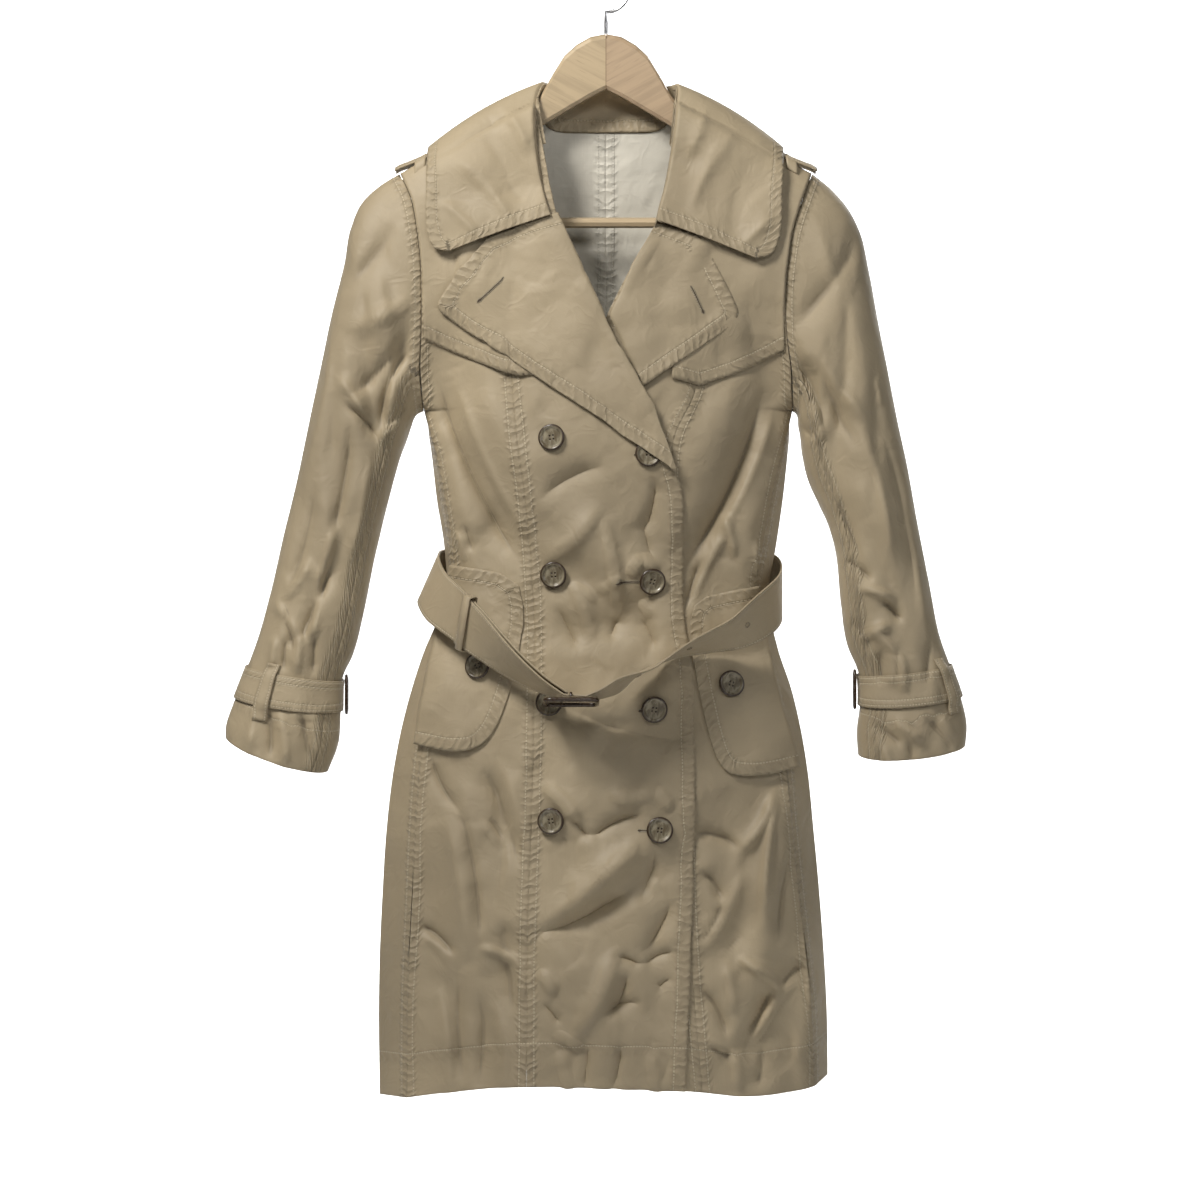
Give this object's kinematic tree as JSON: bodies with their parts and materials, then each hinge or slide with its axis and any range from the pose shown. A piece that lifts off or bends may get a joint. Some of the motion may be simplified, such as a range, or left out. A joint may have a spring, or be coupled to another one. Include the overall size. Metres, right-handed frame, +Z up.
{
  "type": "trench coat on wooden hanger",
  "caption": "Knee-length double-breasted trench coat with notched lapels, storm flaps, shoulder and cuff straps and a slack buckled belt, hanging on a wooden hanger with a wire hook.",
  "frame": {"origin": "inner top of the hanger's hook, where the rail carries it", "axes": "+Z up along the hanging coat, -Y out of the coat's front, +X towards the wearer's left"},
  "size_m": [0.6694, 0.2057, 1.0257],
  "materials": {
    "khaki_cotton": "crisp tightly woven cotton with a soft sheen",
    "brown_horn": "polished brown horn look",
    "beech": "clear-lacquered pale beech",
    "steel_wire": "bright plated wire"
  },
  "bodies": {
    "root": {"back_left": "khaki_cotton", "back_right": "khaki_cotton", "belt": "khaki_cotton", "belt_buckle": "brown_horn", "belt_buckle_bar": "brown_horn", "belt_buckle_prong": "brown_horn", "belt_keeper": "khaki_cotton", "belt_loop_left": "khaki_cotton", "belt_loop_right": "khaki_cotton", "button_1": "brown_horn", "button_10": "brown_horn", "button_2": "brown_horn", "button_3": "brown_horn", "button_4": "brown_horn", "button_5": "brown_horn", "button_6": "brown_horn", "button_7": "brown_horn", "button_8": "brown_horn", "button_9": "brown_horn", "collar": "khaki_cotton", "collar_stand": "khaki_cotton", "cuff_buckle_left": "brown_horn", "cuff_buckle_right": "brown_horn", "cuff_loop_left_1": "khaki_cotton", "cuff_loop_left_2": "khaki_cotton", "cuff_loop_right_1": "khaki_cotton", "cuff_loop_right_2": "khaki_cotton", "cuff_strap_left": "khaki_cotton", "cuff_strap_right": "khaki_cotton", "epaulette_left": "khaki_cotton", "epaulette_loop_left": "khaki_cotton", "epaulette_loop_right": "khaki_cotton", "epaulette_right": "khaki_cotton", "front_centre_left": "khaki_cotton", "front_centre_right": "khaki_cotton", "front_side_left": "khaki_cotton", "front_side_right": "khaki_cotton", "hanger_arm_left": "beech", "hanger_arm_right": "beech", "hanger_bar": "beech", "hanger_hook": "steel_wire", "lapel_left": "khaki_cotton", "lapel_right": "khaki_cotton", "pocket_flap_left": "khaki_cotton", "pocket_flap_right": "khaki_cotton", "sleeve_under_left": "khaki_cotton", "sleeve_under_right": "khaki_cotton", "sleeve_upper_left": "khaki_cotton", "sleeve_upper_right": "khaki_cotton", "storm_flap_left": "khaki_cotton", "storm_flap_right": "khaki_cotton"}
  },
  "joints": []
}
